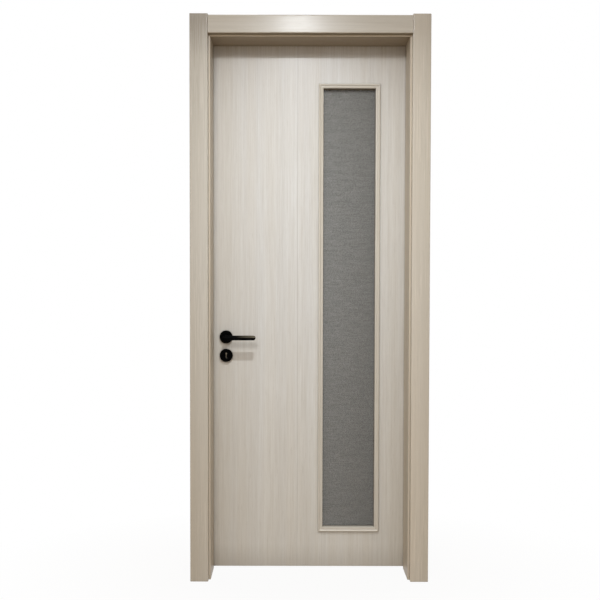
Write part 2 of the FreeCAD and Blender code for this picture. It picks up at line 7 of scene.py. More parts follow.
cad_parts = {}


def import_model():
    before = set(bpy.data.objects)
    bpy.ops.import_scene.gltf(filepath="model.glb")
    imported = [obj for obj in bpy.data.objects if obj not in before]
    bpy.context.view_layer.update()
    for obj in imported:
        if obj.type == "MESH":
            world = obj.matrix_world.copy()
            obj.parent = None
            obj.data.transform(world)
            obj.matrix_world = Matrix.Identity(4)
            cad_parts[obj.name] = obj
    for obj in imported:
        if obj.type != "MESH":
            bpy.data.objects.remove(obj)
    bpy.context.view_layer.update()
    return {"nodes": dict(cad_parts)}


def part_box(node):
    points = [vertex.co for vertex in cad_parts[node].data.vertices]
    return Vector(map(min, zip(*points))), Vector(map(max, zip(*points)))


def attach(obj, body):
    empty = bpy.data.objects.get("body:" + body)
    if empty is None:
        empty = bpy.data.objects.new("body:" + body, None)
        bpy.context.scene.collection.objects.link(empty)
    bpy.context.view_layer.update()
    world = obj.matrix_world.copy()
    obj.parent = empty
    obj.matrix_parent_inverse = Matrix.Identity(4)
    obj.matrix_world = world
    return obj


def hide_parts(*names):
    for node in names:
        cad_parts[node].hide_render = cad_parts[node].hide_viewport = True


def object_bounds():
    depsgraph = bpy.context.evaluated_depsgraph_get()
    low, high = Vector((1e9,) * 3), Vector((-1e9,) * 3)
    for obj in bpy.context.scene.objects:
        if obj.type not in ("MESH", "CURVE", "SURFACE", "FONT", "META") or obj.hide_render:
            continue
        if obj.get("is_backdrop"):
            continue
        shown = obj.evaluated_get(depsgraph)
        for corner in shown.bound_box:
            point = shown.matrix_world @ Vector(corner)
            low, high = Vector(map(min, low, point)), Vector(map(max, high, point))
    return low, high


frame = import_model()

MM = 0.001
UP = Vector((0, 0, 1))
FRONT = Vector((0, -1, 0))
BACK = Vector((0, 1, 0))
SIDES = ("front", "back")
LEVELS = ("upper", "middle", "lower")


def colour(red, green, blue):
    """Scene colour of a tint written as 0 to 255."""
    def linear(level):
        level /= 255
        return level / 12.92 if level <= 0.04045 else ((level + 0.055) / 1.055) ** 2.4
    return (linear(red), linear(green), linear(blue), 1.0)


# Film: tint of the light grain and of the dark grain
LEAF_TINTS = (colour(215, 213, 209), colour(194, 188, 179))
HINGE_CASING_TINTS = (colour(204, 195, 182), colour(190, 181, 167))
LOCK_CASING_TINTS = (colour(194, 186, 174), colour(179, 171, 158))
HEAD_CASING_TINTS = (colour(192, 184, 171), colour(178, 169, 154))
# Painted light and shade: the one frame film in shaded and lit copies. The jambs' inner faces and the head
# jamb's underside take darker shaded tints, the front edges lighter lit tints
HINGE_JAMB_SHADED_TINTS = (colour(187, 175, 156), colour(166, 153, 134))
LOCK_JAMB_SHADED_TINTS = (colour(180, 166, 147), colour(159, 145, 125))
HEAD_JAMB_SHADED_TINTS = (colour(162, 149, 132), colour(143, 131, 114))
JAMB_FRONT_LIT_TINTS = (colour(200, 188, 170), colour(187, 174, 155))
HEAD_FRONT_LIT_TINTS = (colour(224, 211, 191), colour(210, 196, 174))
BEAD_TINTS = (colour(208, 202, 191), colour(187, 178, 163))

# Film: single tints
# Painted shade: darker tints for faces that look down, under the casing head and the glazing beads
CASING_UNDERSIDE_SHADE = colour(142, 131, 114)
BEAD_UNDERSIDE_SHADE = colour(158, 150, 136)
# Painted shade: the tint laid into narrow corners and recesses, where shade falls
CREVICE_SHADE = colour(104, 90, 72)
PORE = colour(150, 138, 121)
WARM_BAND = colour(255, 250, 241)
CORE_LOW = colour(176, 154, 120)
CORE_HIGH = colour(196, 176, 142)

# Film: painted shade and painted warm light, what a tint is multiplied by where the light falling on it changes
LEAF_SIDE_SHADE = colour(245, 243, 240)
LEAF_LOWER_WARM_LIGHT = colour(254, 252, 248)
LEAF_FOOT_SHADE = colour(232, 230, 227)
CASING_OUTER_SHADE = colour(242, 241, 239)
CASING_UPPER_SHADE = colour(244, 243, 241)
CASING_LOWER_WARM_LIGHT = colour(255, 252, 247)
CASING_TOP_SHADE = colour(225, 223, 220)

# Printed grain: noise per metre across and along, detail, roughness, low, high and share
GRAIN_LAYERS = (
    (8, 0.22, 2, 0.55, 0.34, 0.66, 0.18),
    (31, 0.45, 3, 0.55, 0.34, 0.66, 0.16),
    (110, 1.1, 4, 0.60, 0.32, 0.68, 0.26),
    (230, 5.0, 3, 0.65, 0.35, 0.65, 0.40),
)
PORE_SHARE = 0.22
SEAM_SHARE = 0.55
SEAM_CORE = 0.3 * MM
SEAM_EDGE = 1.2 * MM
# How far the painted corner shade reaches
CREVICE_REACH = 7 * MM
FILM_RELIEF = 0.06 * MM

# Hardware, glass and rubber
BLACK_LOW = colour(2, 2, 2)
BLACK_HIGH = colour(6, 6, 6)
# Painted highlight: brown sheen on the levers' upper faces
PAINTED_HIGHLIGHT_TINT = colour(98, 91, 76)
LINEN_LOW = colour(96, 95, 94)
LINEN_HIGH = colour(173, 172, 171)
# Painted reflection: the linen darkens towards the right and the bottom, where a sheen on the glass fades
LINEN_SHEEN_SIDE_FALLOFF = colour(220, 218, 215)
LINEN_SHEEN_LOWER_FALLOFF = colour(242, 241, 239)
THREAD_PITCH = 1.3 * MM
GLASS_LOW = colour(243, 243, 241)
GLASS_HIGH = colour(249, 249, 248)

# Places taken from the frame
leaf_low, leaf_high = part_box("door_leaf")
leaf_middle = (leaf_low + leaf_high) / 2
glass_low, glass_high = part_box("glass_front_sheet")
rose_low, rose_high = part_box("front_rose")
key_low, key_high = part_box("front_key_escutcheon")
spindle_centre = (rose_low + rose_high) / 2
key_centre = (key_low + key_high) / 2
FILM_SEAM = leaf_low.x + 339 * MM
# Where the levers' painted highlight begins and where it is full
PAINTED_HIGHLIGHT_SPAN = (spindle_centre.x + 43.75 * MM, spindle_centre.x + 125 * MM)


class Nodes:
    """Short way to build a node tree."""

    def __init__(self, tree):
        self.tree = tree

    def add(self, kind, **settings):
        node = self.tree.nodes.new(kind)
        for key, value in settings.items():
            setattr(node, key, value)
        return node

    def link(self, source, target):
        self.tree.links.new(source, target)

    def axes(self, vector):
        node = self.add("ShaderNodeSeparateXYZ")
        self.link(vector, node.inputs[0])
        return node.outputs

    def scaled(self, vector, scale):
        node = self.add("ShaderNodeMapping")
        node.inputs["Scale"].default_value = scale
        self.link(vector, node.inputs["Vector"])
        return node.outputs["Vector"]

    def shifted(self, vector, offset):
        node = self.add("ShaderNodeVectorMath", operation="ADD")
        node.inputs[1].default_value = offset
        self.link(vector, node.inputs[0])
        return node.outputs["Vector"]

    def length(self, vector):
        node = self.add("ShaderNodeVectorMath", operation="LENGTH")
        self.link(vector, node.inputs[0])
        return node.outputs["Value"]

    def noise(self, vector, detail=3.0, roughness=0.55):
        node = self.add("ShaderNodeTexNoise")
        node.inputs["Scale"].default_value = 1.0
        node.inputs["Detail"].default_value = detail
        node.inputs["Roughness"].default_value = roughness
        self.link(vector, node.inputs["Vector"])
        return node.outputs["Fac"]

    def range(self, value, low, high, to_low=0.0, to_high=1.0):
        """Value carried from low..high to to_low..to_high and held there."""
        node = self.add("ShaderNodeMapRange")
        node.inputs["From Min"].default_value = low
        node.inputs["From Max"].default_value = high
        node.inputs["To Min"].default_value = to_low
        node.inputs["To Max"].default_value = to_high
        self.link(value, node.inputs["Value"])
        return node.outputs["Result"]

    def math(self, operation, *values):
        node = self.add("ShaderNodeMath", operation=operation)
        for target, value in zip(node.inputs, values):
            if isinstance(value, (int, float)):
                target.default_value = value
            else:
                self.link(value, target)
        return node.outputs["Value"]

    def total(self, *weighted):
        """Sum of (value, weight) pairs."""
        result = None
        for value, weight in weighted:
            part = self.math("MULTIPLY", value, weight)
            result = part if result is None else self.math("ADD", result, part)
        return result

    def mix(self, factor, first, second, blend="MIX"):
        """Mix of two colours."""
        node = self.add("ShaderNodeMix", data_type="RGBA", blend_type=blend)
        for socket, value in (("Factor", factor), ("A", first), ("B", second)):
            target = [s for s in node.inputs if s.name == socket and s.enabled][0]
            if isinstance(value, (int, float, tuple)):
                target.default_value = value
            else:
                self.link(value, target)
        return [s for s in node.outputs if s.enabled][0]

    def with_painted_light(self, tint, axes, painted_light):
        """Tint with painted shade or light that changes along an axis, for each (axis, start, end, multiplier).
        """
        for axis, start, end, shade in painted_light:
            shaded = self.mix(1.0, tint, shade, "MULTIPLY")
            tint = self.mix(self.range(axes[axis], start, end), tint, shaded)
        return tint

    def blend(self, factor, first, second):
        """Mix of two shaders."""
        node = self.add("ShaderNodeMixShader")
        for target, source in zip(node.inputs, (factor, first, second)):
            self.link(source, target)
        return node.outputs[0]

    def seen_rays(self):
        """1 for what the camera sees, straight, in a reflection or through glass."""
        path = self.add("ShaderNodeLightPath")
        rays = path.outputs["Is Camera Ray"]
        for kind in ("Is Glossy Ray", "Is Transmission Ray"):
            rays = self.math("MAXIMUM", rays, path.outputs[kind])
        return rays


class Surface(Nodes):
    """Node tree of a new material, round its main shader."""

    def __init__(self, name):
        self.material = bpy.data.materials.new(name)
        self.material.use_nodes = True
        super().__init__(self.material.node_tree)
        self.shader = self.tree.nodes["Principled BSDF"]

    def position(self):
        return self.add("ShaderNodeTexCoord").outputs["Object"]

    def facing(self):
        return self.axes(self.add("ShaderNodeTexCoord").outputs["Normal"])

    def crevice(self, reach):
        """1 in the open, falling to 0 in corners narrower than reach; the mask for painted corner shade."""
        node = self.add("ShaderNodeAmbientOcclusion")
        node.samples = 8
        node.inputs["Distance"].default_value = reach
        return node.outputs["AO"]

    def bump(self, height, distance, strength):
        node = self.add("ShaderNodeBump")
        node.inputs["Distance"].default_value = distance
        node.inputs["Strength"].default_value = strength
        self.link(height, node.inputs["Height"])
        self.link(node.outputs["Normal"], self.shader.inputs["Normal"])

    def vary(self, **sources):
        """Drive the shader's sockets by what changes over the surface."""
        for key, source in sources.items():
            self.link(source, self.shader.inputs[key.replace("_", " ")])

    def set(self, **values):
        """Set the shader's sockets to what is the same all over."""
        for key, value in values.items():
            self.shader.inputs[key.replace("_", " ")].default_value = value

    def show(self, shader):
        self.link(shader, self.tree.nodes["Material Output"].inputs["Surface"])


def wood_film(name, tints, along, shift, roughness=0.42, seam=None, cut_ends=True, corners=0.5,
              painted_light=(), lit_fronts=None, below=None):
    """Printed oak film: long straight streaks along one axis, fine pores, and bare cut ends.

    seam is the X of an upright joint line, and corners the share of painted shade in narrow corners.
    The slow changes along an axis are painted shade and painted warm light, the front tints are lighter
    tints painted as light on faces that look to the front or the back, and below is a tint painted as shade on
    faces that look down.
    """
    light, dark = tints
    film = Surface(name)
    place = film.position()
    axes = film.axes(place)
    facing = film.facing()
    moved = film.shifted(place, (shift, shift * 0.7, shift * 1.9))

    def stretched(across, lengthways):
        scale = [across, across, across]
        scale["XYZ".index(along)] = lengthways
        return film.scaled(moved, scale)

    layers = [film.range(film.noise(stretched(across, lengthways), detail, rough), low, high)
              for across, lengthways, detail, rough, low, high, share in GRAIN_LAYERS]
    fine = layers[-1]
    grain = film.total(*[(layer, row[-1]) for layer, row in zip(layers, GRAIN_LAYERS)])
    pores = film.range(film.noise(stretched(900, 24), 2, 0.5), 0.6, 0.72)
    relief = film.total((fine, 0.5), (pores, -0.8))

    tint = film.mix(grain, dark, light)
    # Painted light: faces that look to the front or the back take the lighter lit tints
    if lit_fronts is not None:
        lit_front_mask = film.range(film.math("ABSOLUTE", facing["Y"]), 0.7, 0.9)
        tint = film.mix(lit_front_mask, tint, film.mix(grain, lit_fronts[1], lit_fronts[0]))
    warm = film.range(film.noise(stretched(19, 0.35), 2), 0.4, 0.6, 0.0, 0.25)
    tint = film.mix(warm, tint, film.mix(1.0, tint, WARM_BAND, "MULTIPLY"))
    tint = film.mix(film.math("MULTIPLY", pores, PORE_SHARE), tint, PORE)
    if seam is not None:
        off = film.math("ABSOLUTE", film.math("SUBTRACT", axes["X"], seam))
        line = film.range(off, SEAM_CORE, SEAM_EDGE, 1.0, 0.0)
        tint = film.mix(film.math("MULTIPLY", line, SEAM_SHARE), tint, PORE)
        relief = film.total((relief, 1.0), (line, -2.0))
    # Painted shade and light that change slowly along an axis
    tint = film.with_painted_light(tint, axes, painted_light)
    # Painted shade on faces that look down
    if below is not None:
        tint = film.mix(film.range(facing["Z"], -0.7, -0.9), tint, below)
    if cut_ends:
        crumbs = film.noise(film.scaled(place, (700, 700, 700)))
        end = film.range(film.math("ABSOLUTE", facing[along]), 0.8, 0.95)
        tint = film.mix(end, tint, film.mix(crumbs, CORE_LOW, CORE_HIGH))
    # Painted shade: narrow corners and recesses are darkened towards the corner shade tint
    corner = film.range(film.crevice(CREVICE_REACH), 0.3, 0.95, corners, 0.0)

    worn = film.noise(film.scaled(place, (5, 5, 2)))
    gloss = film.total((film.range(fine, 0.0, 1.0, roughness - 0.02, roughness + 0.03), 1.0),
                       (film.range(worn, 0.35, 0.65, -0.02, 0.02), 1.0))
    film.vary(Base_Color=film.mix(corner, tint, CREVICE_SHADE), Roughness=gloss)
    film.bump(relief, FILM_RELIEF, 0.5)
    return film.material


def powder_coat(name, highlight_span=None):
    """Matt black coat with a fine orange-peel texture.

    Faces that look up can take a painted brown highlight; the last argument gives the X where it begins and the
    X where it is full.
    """
    coat = Surface(name)
    place = coat.position()
    peel = coat.noise(coat.scaled(place, (1500, 1500, 1500)), 2)
    cloud = coat.noise(coat.scaled(place, (60, 60, 60)))
    tint = coat.mix(cloud, BLACK_LOW, BLACK_HIGH)
    if highlight_span is not None:
        # Painted highlight on faces that look up, growing along X
        highlight = coat.math("MULTIPLY", coat.range(coat.facing()["Z"], 0.2, 0.5),
                         coat.range(coat.axes(place)["X"], *highlight_span))
        highlight = coat.math("MULTIPLY", highlight, coat.range(cloud, 0.3, 0.7, 0.8, 1.0))
        tint = coat.mix(highlight, tint, PAINTED_HIGHLIGHT_TINT)
    coat.vary(Base_Color=tint, Roughness=coat.range(cloud, 0.3, 0.7, 0.36, 0.46))
    coat.set(Specular_IOR_Level=0.02)
    coat.bump(peel, 0.03 * MM, 0.4)
    return coat.material


def satin_metal(name, tint, roughness=0.32):
    """Brushed metal with fine upright lines."""
    metal = Surface(name)
    place = metal.position()
    lines = metal.noise(metal.scaled(place, (2500, 2500, 30)))
    cloud = metal.noise(metal.scaled(place, (45, 45, 45)))
    darker = tuple(level * 0.8 for level in tint[:3]) + (1.0,)
    metal.vary(Base_Color=metal.mix(metal.range(lines, 0.3, 0.7), darker, tint),
               Roughness=metal.range(cloud, 0.3, 0.7, roughness - 0.06, roughness + 0.1))
    metal.set(Metallic=1.0)
    metal.bump(lines, 0.02 * MM, 0.4)
    return metal.material


def rubber(name, low, high):
    """Soft matt surface with a faint cloud."""
    soft = Surface(name)
    cloud = soft.noise(soft.scaled(soft.position(), (300, 300, 40)))
    soft.vary(Base_Color=soft.mix(cloud, low, high))
    soft.set(Roughness=0.75)
    soft.bump(cloud, 0.05 * MM, 0.5)
    return soft.material


def linen():
    """Grey woven interlayer: two sets of uneven threads with slubs and knots, and a painted reflection, lighter
    at the upper left and darker towards the right and the bottom.
    """
    cloth = Surface("linen")
    place = cloth.position()
    axes = cloth.axes(place)
    wander = cloth.noise(cloth.scaled(place, (90, 90, 90)), 2)

    def threads(axis, stretch):
        angle = cloth.total((axes[axis], 2 * math.pi / THREAD_PITCH), (wander, 3.0))
        uneven = cloth.range(cloth.noise(cloth.scaled(place, stretch), 2), 0.3, 0.7, 0.35, 1.0)
        return cloth.math("MULTIPLY", cloth.range(cloth.math("SINE", angle), -1.0, 1.0), uneven)

    def patches(stretch, detail):
        return cloth.range(cloth.noise(cloth.scaled(place, stretch), detail, 0.6), 0.4, 0.6)

    weave = cloth.math("MAXIMUM", threads("Z", (70, 70, 800)), threads("X", (800, 800, 70)))
    slubs = patches((26, 26, 240), 3)
    upright_slubs = patches((240, 240, 60), 3)
    knots = patches((200, 200, 290), 2)
    level = cloth.total((weave, 0.3), (slubs, 0.15), (upright_slubs, 0.14), (knots, 0.27))
    tint = cloth.mix(cloth.math("ADD", level, 0.06), LINEN_LOW, LINEN_HIGH)
    middle = (glass_low.z + glass_high.z) / 2
    # Painted reflection that fades towards the right and the bottom
    cloth.vary(Base_Color=cloth.with_painted_light(tint, axes, (("X", glass_low.x, glass_high.x, LINEN_SHEEN_SIDE_FALLOFF),
                                                   ("Z", middle, glass_low.z, LINEN_SHEEN_LOWER_FALLOFF))))
    cloth.set(Roughness=0.9, Specular_IOR_Level=0.1)
    cloth.bump(weave, 0.2 * MM, 0.5)
    return cloth.material


def clear_glass():
    """Clear sheet that lets the light through to the linen behind it."""
    sheet = Surface("clear_glass")
    smear = sheet.noise(sheet.scaled(sheet.position(), (6, 6, 3)))
    sheet.vary(Base_Color=sheet.mix(smear, GLASS_LOW, GLASS_HIGH),
               Roughness=sheet.range(smear, 0.3, 0.7, 0.02, 0.05))
    sheet.set(IOR=1.5, Transmission_Weight=1.0)
    clear = sheet.add("ShaderNodeBsdfTransparent")
    clear.inputs["Color"].default_value = GLASS_LOW
    path = sheet.add("ShaderNodeLightPath")
    rays = sheet.math("MAXIMUM", path.outputs["Is Shadow Ray"], path.outputs["Is Diffuse Ray"])
    sheet.show(sheet.blend(rays, sheet.shader.outputs[0], clear.outputs[0]))
    return sheet.material


def dress(material, *names):
    """Give the material to solids of the frame."""
    for name in names:
        mesh = frame["nodes"][name].data
        mesh.materials.clear()
        mesh.materials.append(material)


black = powder_coat("black_coat")
# Lever coat with a painted highlight on its upper faces
highlighted_black = powder_coat("lever_coat", PAINTED_HIGHLIGHT_SPAN)
steel = satin_metal("satin_steel", colour(176, 174, 170))
bush = rubber("key_bush", colour(226, 208, 180), colour(246, 232, 208))
glazing_rubber = rubber("glazing_rubber", colour(104, 96, 84), colour(124, 115, 102))

# Painted shade and painted warm light: axis, start and end in metres, and multiplier
# The leaf: painted shade towards both jambs and at the foot, painted warm light growing towards the foot
leaf_painted_light = [("X", leaf_middle.x + (edge - leaf_middle.x) * 0.4, edge, LEAF_SIDE_SHADE)
              for edge in (leaf_low.x, leaf_high.x)]
leaf_painted_light += [("Z", leaf_middle.z, leaf_low.z + 0.2, LEAF_LOWER_WARM_LIGHT),
               ("Z", leaf_low.z + 0.09, leaf_low.z, LEAF_FOOT_SHADE)]
dress(wood_film("leaf_film", LEAF_TINTS, "Z", 0.0, 0.36, seam=FILM_SEAM, painted_light=leaf_painted_light), "door_leaf")
# The jambs' inner faces and the head jamb's underside take painted shade, their front edges painted light
for film_name, tints, shift, jamb in (("frame_film_upright", HINGE_JAMB_SHADED_TINTS, 3.1, "jamb_hinge_side"),
                                      ("frame_film_lock_side", LOCK_JAMB_SHADED_TINTS, 6.6, "jamb_lock_side")):
    dress(wood_film(film_name, tints, "Z", shift, corners=0.15, lit_fronts=JAMB_FRONT_LIT_TINTS), jamb)
dress(wood_film("frame_film_level", HEAD_JAMB_SHADED_TINTS, "X", 4.3, corners=0.12, lit_fronts=HEAD_FRONT_LIT_TINTS),
      "head_jamb")

# Hinge side casing: painted shade towards its outer edge and in its upper part, painted warm light low down
casing_low, casing_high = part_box("front_casing_hinge_side")
casing_painted_light = [("X", casing_low.x, casing_high.x, CASING_OUTER_SHADE), ("Z", 0.9, 1.6, CASING_UPPER_SHADE),
                ("Z", 1.2, 0.3, CASING_LOWER_WARM_LIGHT)]
dress(wood_film("casing_film_hinge_side", HINGE_CASING_TINTS, "Z", 7.7, 0.25, painted_light=casing_painted_light),
      "front_casing_hinge_side", "back_casing_hinge_side")
# Lock side casing: painted shade towards its outer edge, in its upper part and at the very top, painted warm
# light low down
casing_low, casing_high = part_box("front_casing_lock_side")
casing_painted_light = [("X", casing_high.x, casing_low.x, CASING_OUTER_SHADE), ("Z", 1.3, 2.0, CASING_UPPER_SHADE),
                ("Z", casing_high.z - 0.17, casing_high.z - 0.02, CASING_TOP_SHADE),
                ("Z", 1.2, 0.3, CASING_LOWER_WARM_LIGHT)]
dress(wood_film("casing_film_lock_side", LOCK_CASING_TINTS, "Z", 21.3, 0.25, painted_light=casing_painted_light),
      "front_casing_lock_side", "back_casing_lock_side")
# The casing head's downward faces take painted shade
dress(wood_film("casing_film_level", HEAD_CASING_TINTS, "X", 12.9, 0.35, below=CASING_UNDERSIDE_SHADE),
      "front_casing_head", "back_casing_head")

dress(wood_film("bead_film_upright", BEAD_TINTS, "Z", 12.4, 0.36, cut_ends=False),
      *["%s_bead_%s_side" % (side, hand) for side in SIDES for hand in ("hinge", "lock")])
# The level beads' downward faces take painted shade
dress(wood_film("bead_film_level", BEAD_TINTS, "X", 15.8, 0.36, cut_ends=False, below=BEAD_UNDERSIDE_SHADE),
      *["%s_bead_%s" % (side, end) for side in SIDES for end in ("top", "bottom")])
dress(rubber("soft_seal", colour(150, 139, 122), colour(170, 160, 143)),
      "seal_hinge_side", "seal_lock_side", "seal_head")
dress(linen(), "glass_mesh_interlayer")
dress(clear_glass(), "glass_front_sheet", "glass_back_sheet")
dress(steel, "strike_plate", "lock_faceplate", "latch_bolt", "dead_bolt", "spindle",
      *["hinge_%s_%s" % (level, part) for level in LEVELS for part in ("frame_plate", "leaf_plate", "pin")])
dress(satin_metal("zinc", colour(168, 160, 146), 0.5), "lock_case")


# Ways to shape the finer pieces
def standing(centre, outward):
    """Matrix that turns local Z outwards and keeps local Y upright."""
    across = UP.cross(outward).normalized()
    turn = Matrix((across, UP, outward)).transposed().to_4x4()
    return Matrix.Translation(centre) @ turn


def arc(steps, degrees=90.0):
    """Cosine and sine of each step of a turn that starts at 0."""
    angles = [math.radians(degrees) * step / steps for step in range(steps + 1)]
    return [(math.cos(angle), math.sin(angle)) for angle in angles]


def rounded(corners, steps=5):
    """Closed outline through (u, v, radius) corners, each drawn as an arc."""
    outline = []
    for index, (u, v, radius) in enumerate(corners):
        here = Vector((u, v))
        before = (Vector(corners[index - 1][:2]) - here).normalized()
        after = (Vector(corners[(index + 1) % len(corners)][:2]) - here).normalized()
        half = before.angle(after) / 2
        centre = here + (before + after).normalized() * radius / math.sin(half)
        start = here + before * radius / math.tan(half) - centre
        end = here + after * radius / math.tan(half) - centre
        first = math.atan2(start.y, start.x)
        sweep = math.atan2(end.y, end.x) - first
        sweep = (sweep + math.pi) % (2 * math.pi) - math.pi
        for step in range(steps + 1):
            angle = first + sweep * step / steps
            outline.append(centre + Vector((math.cos(angle), math.sin(angle))) * radius)
    return outline


def bridge(shape, first, second):
    """Band of faces between two closed rings of as many points."""
    count = len(first)
    for index in range(count):
        after = (index + 1) % count
        shape.faces.new((first[index], first[after], second[after], second[index]))


def rings(shape, profile, segments=96):
    """Rings of (radius, height) round local Z, joined one to the next."""
    made = []
    for radius, height in profile:
        ring = []
        for index in range(segments):
            angle = 2 * math.pi * index / segments
            ring.append(shape.verts.new((radius * math.cos(angle), radius * math.sin(angle), height)))
        if made:
            bridge(shape, made[-1], ring)
        made.append(ring)
    return made


def fill_between(shape, outer, inner):
    """Flat face between two closed rings of one plane."""
    edges = []
    for ring in (outer, inner):
        for index in range(len(ring)):
            pair = (ring[index], ring[(index + 1) % len(ring)])
            edges.append(shape.edges.get(pair) or shape.edges.new(pair))
    bmesh.ops.triangle_fill(shape, use_beauty=True, use_dissolve=False, edges=edges)


def plate_with_hole(shape, rim, hole, steps):
    """Disc with a lathed rim from back to front, and a hole that grows by each (height, grow) step."""
    made = rings(shape, rim)
    walls = []
    for height, grow in steps:
        ring = []
        for index, point in enumerate(hole):
            side = hole[(index + 1) % len(hole)] - hole[index - 1]
            outward = Vector((side.y, -side.x)).normalized()
            spot = point + outward * grow
            ring.append(shape.verts.new((spot.x, spot.y, height)))
        if walls:
            bridge(shape, walls[-1], ring)
        walls.append(ring)
    fill_between(shape, made[0], walls[0])
    fill_between(shape, made[-1], walls[-1])


def finish_piece(name, shape, body, material, sharp=32):
    """Turn the built shape into a piece of the object that moves with one body."""
    bmesh.ops.recalc_face_normals(shape, faces=shape.faces)
    mesh = bpy.data.meshes.new(name)
    shape.to_mesh(mesh)
    shape.free()
    for polygon in mesh.polygons:
        polygon.use_smooth = True
    mesh.set_sharp_from_angle(angle=math.radians(sharp))
    mesh.materials.append(material)
    piece = bpy.data.objects.new(name, mesh)
    bpy.context.scene.collection.objects.link(piece)
    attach(piece, body)
    return piece


# Handle and key set
ROSE_RADIUS = (rose_high.x - rose_low.x) / 2
ROSE_HEIGHT = rose_high.y - rose_low.y
RIM_ROUND = 1.3 * MM
RIM_FOOT = 0.5 * MM
NECK_RADIUS = 9 * MM
NECK_GAP = 0.3 * MM
NECK_HOLE_BEVEL = 0.6 * MM
NECK_FLARE_START = 1.5 * MM
NECK_FLARE_RISE = 1.7 * MM
NECK_FLARE_OUT = 0.45 * MM
GRIP_DEPTH = 12 * MM
GRIP_END_STEPS = 14
GRIP_END_THINNING = 0.16
GRUB_SCREW_HEIGHT = 20 * MM
KEYHOLE_CIRCLE = 4 * MM
KEYHOLE_RISE = 8 * MM
KEYHOLE_HALF_SLOT = 2.3 * MM
KEYHOLE_DROP = 12 * MM
KEYHOLE_BEVEL = 0.4 * MM
GUIDE_HALF_SLOT = 1.0 * MM
GUIDE_LOW = -9.0 * MM
GUIDE_HIGH = 8.0 * MM
GUIDE_BACK = -4.0 * MM
GUIDE_FRONT = -0.3 * MM
GUIDE_ROUND = 0.8 * MM


def rim_profile():
    """Side of a round plate: a small shadow step at its foot and a rounded front edge."""
    profile = [(ROSE_RADIUS - RIM_FOOT, 0.0), (ROSE_RADIUS - RIM_FOOT, RIM_FOOT),
               (ROSE_RADIUS, RIM_FOOT * 1.5)]
    profile += [(ROSE_RADIUS - RIM_ROUND + RIM_ROUND * across, ROSE_HEIGHT - RIM_ROUND + RIM_ROUND * up)
                for across, up in arc(6)]
    return profile


def keyhole():
    """Outline of the keyhole, anticlockwise: a round head over a straight slot."""
    turn = math.asin(KEYHOLE_HALF_SLOT / KEYHOLE_CIRCLE)
    start = -math.pi / 2 + turn
    sweep = 2 * math.pi - 2 * turn
    angles = [start + sweep * step / 28 for step in range(29)]
    head = [Vector((KEYHOLE_CIRCLE * math.cos(angle), KEYHOLE_RISE + KEYHOLE_CIRCLE * math.sin(angle)))
            for angle in angles]
    foot = [Vector((KEYHOLE_HALF_SLOT * side, -KEYHOLE_DROP + drop)) for side, drop in
            ((-1, 0.7 * MM), (-0.7, 0.0), (0.7, 0.0), (1, 0.7 * MM))]
    return head + foot


def rose(name, seat, outward):
    """Round plate under the lever, with a bevelled hole for its neck."""
    shape = bmesh.new()
    inner = NECK_RADIUS + NECK_GAP
    made = rings(shape, rim_profile() + [(inner + NECK_HOLE_BEVEL, ROSE_HEIGHT),
                                         (inner, ROSE_HEIGHT - NECK_HOLE_BEVEL), (inner, 0.0)])
    bridge(shape, made[-1], made[0])
    shape.transform(standing(Vector((spindle_centre.x, seat, spindle_centre.z)), outward))
    piece = finish_piece(name + "_turned", shape, "leaf", black)
    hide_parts(name)


def key_escutcheon(name, seat, outward):
    """Round plate with the keyhole."""
    shape = bmesh.new()
    plate_with_hole(shape, rim_profile(), keyhole(),
                    ((0.0, 0.0), (ROSE_HEIGHT - KEYHOLE_BEVEL, 0.0), (ROSE_HEIGHT, KEYHOLE_BEVEL)))
    shape.transform(standing(Vector((key_centre.x, seat, key_centre.z)), outward))
    piece = finish_piece(name + "_turned", shape, "leaf", black)
    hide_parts(name)


def key_guide(name, seat, outward):
    """Light bush in the leaf's bore, seen through the keyhole."""
    shape = bmesh.new()
    slot = rounded([(-GUIDE_HALF_SLOT, GUIDE_LOW, GUIDE_ROUND), (GUIDE_HALF_SLOT, GUIDE_LOW, GUIDE_ROUND),
                    (GUIDE_HALF_SLOT, GUIDE_HIGH, GUIDE_ROUND), (-GUIDE_HALF_SLOT, GUIDE_HIGH, GUIDE_ROUND)], 3)
    plate_with_hole(shape, [(9.8 * MM, GUIDE_BACK), (9.8 * MM, -0.6 * MM), (9.4 * MM, GUIDE_FRONT)], slot,
                    ((GUIDE_BACK, 0.0), (GUIDE_FRONT, 0.0)))
    shape.transform(standing(Vector((key_centre.x, seat, key_centre.z)), outward))
    finish_piece(name, shape, "leaf", bush)


